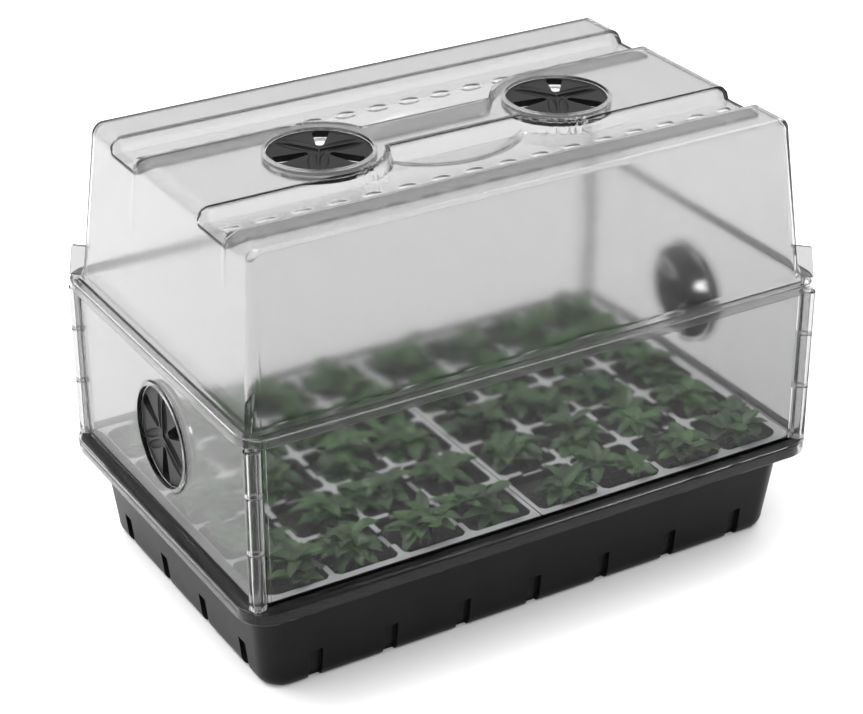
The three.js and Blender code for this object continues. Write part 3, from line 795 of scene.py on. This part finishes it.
def end_panel():
    x, y, seam, reach = POST_X, POST_Y, SEAM, SHARE_REACH
    end = y - POST_GAP
    share = [(-x - reach, -y - reach + seam), (-x + reach - seam, -y + reach),
             (-x + reach - seam, y - reach), (-x - reach, y + reach - seam)]
    steps = [("UNION", skirt_share(share))]
    for side in (-1, 1):
        py = side * y
        inner, outer = sorted((py, side * (end - 1)))
        z0, z1 = MIDDLE_KNUCKLE
        web = box_solid((-x - 0.9, inner, z0 + 0.2), (-x + 0.9, outer, z1 - 0.2))
        strip = side * (end - STRIP_HALF)
        edge = box_solid((-x - 1.9, strip - STRIP_HALF, STRIP_LOW),
                         (-x + 0.5, strip + STRIP_HALF, STRIP_TOP))
        bore = prism(circle(PIN_BORE_R, 24, -x, py), 0, 200)
        steps += [("UNION", web), ("UNION", barrel(-x, py, z0, z1)), ("UNION", edge),
                  ("DIFFERENCE", bore)]
    out = Matrix.Translation((-x - 1, 0, SIDE_VENT_Z)) @ Matrix.Rotation(-math.pi / 2, 4, "Y")
    bead = loft([(35, 35, 34.99, -0.9), (35, 35, 34.99, 0.7), (34.4, 34.4, 34.39, 1.2)], 24)
    steps.append(("UNION", moved(bead, out)))
    steps.append(("DIFFERENCE", moved(prism(circle(HOLE_R, 96), -2.6, 6), out)))
    plate = box_solid((-x - 1, -end, PANEL_LOW), (-x + 1, end, PANEL_TOP))
    return carved(plate, steps)


def mirrored(mesh, axis):
    copy = mesh.copy()
    factor = Vector((1, 1, 1))
    factor[axis] = -1
    copy.transform(Matrix.Diagonal((*factor, 1)))
    return copy


front, left = long_panel(), end_panel()
for name, mesh in (("front", front), ("back", mirrored(front, 1)),
                   ("left", left), ("right", mirrored(left, 0))):
    bevelled(finish_mesh(name + "_wall", mesh, CLEAR_WALL, "extension", [name + "_panel"],
                         "clear"), 0.3)


# ---------- rotary vents ----------
def dial_mesh():
    """The dial round +Z with the outside of its wall at z = 0."""
    face, back = -1.7, -5.7
    edge = ((30.9, back), (31.3, back + 0.4), (31.3, face - 0.7), (31.1, face - 0.2), (30.6, face))
    disc = loft([(r, r, r - 0.01, z) for r, z in edge], 24)
    petal = rounded_polygon([(7.6, -2.1), (7.6, 2.1), (29.7, 5.6), (29.7, -5.6)],
                            [1.9, 1.9, 2.8, 2.8])
    steps = []
    for k in range(3):
        spin = Matrix.Rotation(k * 2 * math.pi / 3, 4, "Z")
        steps.append(("DIFFERENCE", moved(prism(petal, back - 1, 2), spin)))
        for side in (-1, 1):
            stretch = Matrix(((12.6, 0, 0, 0), (0, 2.9, side * 0.8, 0), (0, 0, 2.0, 0),
                              (0, 0, 0, 1)))
            shape = (spin @ Matrix.Rotation(math.pi / 3, 4, "Z")
                     @ Matrix.Translation((15.8, side * 3.6, face + 0.3)) @ stretch)
            steps.append(("DIFFERENCE", moved(ball(32, 14), shape)))
    for k in range(3):
        spin = Matrix.Rotation(k * 2 * math.pi / 3 + math.pi / 3, 4, "Z")
        crest = [(-0.5, face - 1), (27, face - 1), (27, face + 0.05), (20, face + 0.5),
                 (8, face + 0.85), (-0.5, face + 0.9)]
        ridge = moved(prism(crest, -0.45, 0.45), spin @ Matrix.Rotation(math.pi / 2, 4, "X"))
        steps.append(("UNION", ridge))
    steps.append(("UNION", prism(circle(4, 32), -10.5, back + 1)))
    return carved(disc, steps)


def ball(around, up):
    """A sphere of radius 1."""
    verts, faces = [(0, 0, 1)], []
    for i in range(1, up):
        a = math.pi * i / up
        verts += [(math.sin(a) * c, math.sin(a) * s, math.cos(a)) for c, s in circle(1, around)]
    verts.append((0, 0, -1))
    for k in range(around):
        faces.append((0, 1 + k, 1 + (k + 1) % around))
        low = 1 + (up - 2) * around
        faces.append((len(verts) - 1, low + (k + 1) % around, low + k))
    for i in range(up - 2):
        for k in range(around):
            a, b = 1 + i * around + k, 1 + i * around + (k + 1) % around
            faces.append((a, a + around, b + around, b))
    return verts, faces


def vent_place(x, z, tip, spin):
    """Puts a dial at x, z, tipped over towards +X and spun about its own axis, in degrees."""
    return (Matrix.Translation((x * MM, 0, z * MM)) @ Matrix.Rotation(math.radians(tip), 4, "Y")
            @ Matrix.Rotation(math.radians(spin), 4, "Z"))


dial = dial_mesh()
for name, place in {
    "top_left": vent_place(-VENT_X, DOME_TOP, 0, -60),
    "top_right": vent_place(VENT_X, DOME_TOP, 0, -60),
    "left": vent_place(-SIDE_VENT_X, SIDE_VENT_Z, -90, 60),
    "right": vent_place(SIDE_VENT_X, SIDE_VENT_Z, 90, 0),
}.items():
    copy = dial.copy()
    copy.transform(place)
    bevelled(finish_mesh("dial_" + name, copy, DIAL_BLACK, "dial_" + name,
                         ["vent_dial_" + name], "dial_black", 40), 0.2)


# ---------- soil and seedlings ----------
def cell_centres(side):
    middle = MIDDLE_GAP + 2 * PITCH_X
    for i in range(COLUMNS):
        for j in range(ROWS):
            yield side * (middle + (i - 1.5) * PITCH_X), (j - 2) * PITCH_Y


def soil_lump(cx, cy):
    """One cell's growing mix: a low uneven mound with a skirt that goes down into the cell."""
    n = 13
    half, corner = SOIL_HALF, SOIL_CORNER
    verts, faces = [], []
    for i in range(n):
        for j in range(n):
            u, v = 2 * i / (n - 1) - 1, 2 * j / (n - 1) - 1
            over = max(abs(v) * half - (half - corner), 0) / corner
            wide = half - corner + corner * math.sqrt(max(1 - over * over, 0))
            x, y = u * wide, v * (half - 0.3)
            lift = 1.4 * (1 - u * u) * (1 - v * v)
            verts.append((cx + x, cy + y, SOIL_Z + lift + rng.normal(0, 0.45)))
    for i in range(n - 1):
        for j in range(n - 1):
            faces.append((i * n + j, (i + 1) * n + j, (i + 1) * n + j + 1, i * n + j + 1))
    rim = ([i * n for i in range(n)] + [(n - 1) * n + j for j in range(1, n)]
           + [i * n + n - 1 for i in range(n - 2, -1, -1)] + list(range(n - 2, 0, -1)))
    base = len(verts)
    for k in rim:
        x, y, _ = verts[k]
        verts.append((cx + (x - cx) * 0.97, cy + (y - cy) * 0.97, 58.0))
    m = len(rim)
    for k in range(m):
        faces.append((rim[k], rim[(k + 1) % m], base + (k + 1) % m, base + k))
    faces.append(tuple(base + k for k in range(m)))
    return verts, faces


def leaf(origin, yaw, pitch, length, width, droop):
    """A pointed leaf, folded along its midrib and arching down."""
    rows = 7
    verts, faces = [], []
    cy, sy = math.cos(yaw), math.sin(yaw)
    x = z = 0.0
    for i in range(rows + 1):
        t = i / rows
        half = width / 2 * math.sin(math.pi * min(1, t * 0.96 + 0.03)) ** 0.75 * (1 - 0.25 * t)
        a = pitch - droop * t
        if i:
            x += length / rows * math.cos(a)
            z += length / rows * math.sin(a)
        for s in (-1, -0.5, 0, 0.5, 1):
            side = s * half
            lift = abs(s) * half * 0.35 + 0.35 * math.sin(9 * t + 2 * s)
            px = x - lift * math.sin(a)
            pz = z + lift * math.cos(a)
            verts.append((origin[0] + px * cy - side * sy, origin[1] + px * sy + side * cy,
                          origin[2] + pz))
    for i in range(rows):
        for k in range(4):
            a = i * 5 + k
            faces.append((a, a + 5, a + 6, a + 1))
    return verts, faces


def stem(foot, top, r):
    """A six-sided stem that gets thinner towards its top."""
    verts, faces = [], []
    for t in (0, 0.5, 1):
        cx, cy, cz = (f + (e - f) * t for f, e in zip(foot, top))
        verts += [(cx + r * (1 - 0.3 * t) * c, cy + r * (1 - 0.3 * t) * s, cz)
                  for c, s in circle(1, 6)]
    for i in range(2):
        for k in range(6):
            a, b = i * 6 + k, i * 6 + (k + 1) % 6
            faces.append((a, b, b + 6, a + 6))
    faces += [tuple(range(5, -1, -1)), tuple(range(12, 18))]
    return verts, faces


def seedlings(side):
    """The growing mix and seedlings of one insert, kept clear of its neighbours."""
    leaves, stems, soil = [], [], []
    for cx, cy in cell_centres(side):
        soil.append(soil_lump(cx, cy))
        for _ in range(4):
            fx, fy = cx + rng.uniform(-11, 11), cy + rng.uniform(-11, 11)
            height = rng.uniform(5, 14)
            top = (fx + rng.uniform(-3, 3), fy + rng.uniform(-3, 3), 63 + height)
            stems.append(stem((fx, fy, 62), top, 0.8))
            spin = rng.uniform(0, 2 * math.pi)
            for k in range(int(rng.integers(6, 9))):
                share = 0.55 + 0.45 * rng.uniform()
                origin = tuple(f + (e - f) * share for f, e in zip((fx, fy, 63), top))
                leaves.append(leaf(origin, spin + k * 2.4, rng.uniform(0.1, 0.9),
                                   rng.uniform(14, 23), rng.uniform(7.5, 11.5),
                                   rng.uniform(0.5, 1.2)))
    name = "left" if side < 0 else "right"
    body = name + "_insert"

    def kept(solid):
        verts, faces = solid
        pulled = [(side * min(180, max(0.9, side * x)), max(-113, min(113, y)), max(z, 63.5))
                  for x, y, z in verts]
        return pulled, faces

    make_object("leaves_" + name, joined([kept(l) for l in leaves]), LEAF, body, angle=80)
    make_object("stems_" + name, joined(stems), STEM, body, angle=60)
    make_object("soil_" + name, joined(soil), SOIL, body, angle=60)


for side in (-1, 1):
    seedlings(side)


# ---------- the frame's own nodes that keep their shape ----------
for name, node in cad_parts.items():
    if name.startswith("plug_insert"):
        look = INSERT_BLACK
    elif name.startswith("vent_clip"):
        look = DIAL_BLACK
    else:
        look = CLEAR_SMALL
    node.data.materials.clear()
    node.data.materials.append(look)


# ---------- studio ----------
def studio():
    """A white floor, a world that is brighter above and on the left, and two lamps."""
    mesh = bpy.data.meshes.new("floor")
    mesh.from_pydata([(-12, -12, 0), (12, -12, 0), (12, 12, 0), (-12, 12, 0)], [],
                     [(0, 1, 2, 3)])
    floor = bpy.data.objects.new("floor", mesh)
    mesh.materials.append(floor_material())
    bpy.context.scene.collection.objects.link(floor)
    world = bpy.data.worlds.new("studio")
    world.use_nodes = True
    nodes, links = world.node_tree.nodes, world.node_tree.links
    nodes["Background"].inputs["Color"].default_value = (1, 1, 1, 1)
    place = nodes.new("ShaderNodeTexCoord")
    split = nodes.new("ShaderNodeSeparateXYZ")
    links.new(place.outputs["Generated"], split.inputs["Vector"])
    height = map_range(nodes, links, split.outputs["Z"],
                       From_Min=0.0, From_Max=0.8, To_Min=0.28, To_Max=1.6)
    side = map_range(nodes, links, split.outputs["X"],
                     From_Min=-0.95, From_Max=-0.2, To_Min=0.75, To_Max=0.0)
    links.new(calculated(nodes, links, "ADD", height, side), nodes["Background"].inputs["Strength"])
    bpy.context.scene.world = world
    for name, place, size, power in [
        ("key", (-0.9, 0.9, 2.2), 1.6, 42.0),
        ("fill", (1.6, 0.6, 2.0), 1.4, 14.0),
    ]:
        data = bpy.data.lights.new(name, "AREA")
        data.size = size
        data.energy = power
        lamp = bpy.data.objects.new(name, data)
        lamp.location = place
        aim = Vector((0, 0, 0.1)) - Vector(place)
        lamp.rotation_euler = aim.to_track_quat("-Z", "Y").to_euler()
        bpy.context.scene.collection.objects.link(lamp)
    bpy.context.scene.view_settings.view_transform = "Standard"


studio()
